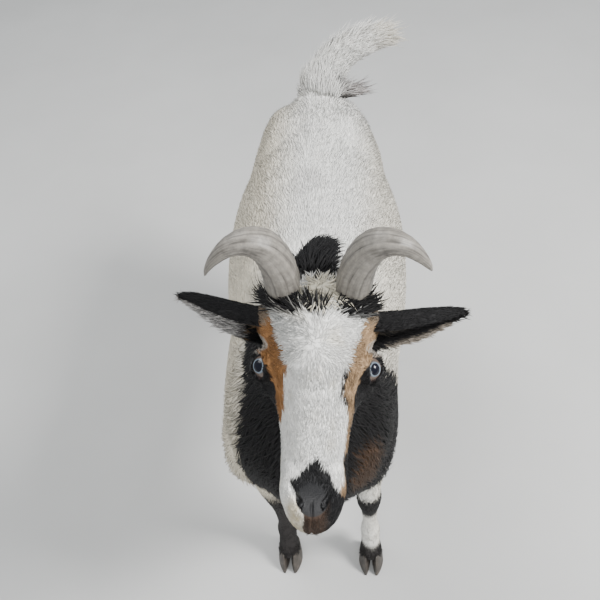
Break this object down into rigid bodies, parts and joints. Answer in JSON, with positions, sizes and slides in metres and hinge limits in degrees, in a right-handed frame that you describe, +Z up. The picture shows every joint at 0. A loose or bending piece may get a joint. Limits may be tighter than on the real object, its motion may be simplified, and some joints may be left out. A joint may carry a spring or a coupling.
{
  "type": "standing goat model",
  "caption": "Life-size still model of a small horned goat standing with head raised and tail up, white with black neck, cheeks and ears and tan face stripes.",
  "frame": {"origin": "middle of the bounding box, on the floor under the hooves", "axes": "+Z up, the goat faces -Y, its left side is +X"},
  "size_m": [0.2856, 0.7824, 0.7906],
  "materials": {
    "coat": "short hair coat over skin, white with black, tan and grey patches",
    "horn": "dry grey-brown horn with growth rings",
    "hoof": "dull dark horn",
    "eye": "wet, clear over a pale blue-grey iris"
  },
  "bodies": {
    "root": {"head": "coat", "neck": "coat", "trunk": "coat", "tail": "coat", "beard": "coat", "foreleg_left_upper": "coat", "foreleg_left_lower": "coat", "foreleg_right_upper": "coat", "foreleg_right_lower": "coat", "hindleg_left_upper": "coat", "hindleg_left_lower": "coat", "hindleg_right_upper": "coat", "hindleg_right_lower": "coat", "hoof_fore_left_outer": "hoof", "hoof_fore_left_inner": "hoof", "hoof_fore_right_outer": "hoof", "hoof_fore_right_inner": "hoof", "hoof_hind_left_outer": "hoof", "hoof_hind_left_inner": "hoof", "hoof_hind_right_outer": "hoof", "hoof_hind_right_inner": "hoof", "ear_left": "coat", "ear_right": "coat", "eye_left": "eye", "eye_right": "eye", "horn_left": "horn", "horn_right": "horn"}
  },
  "joints": []
}
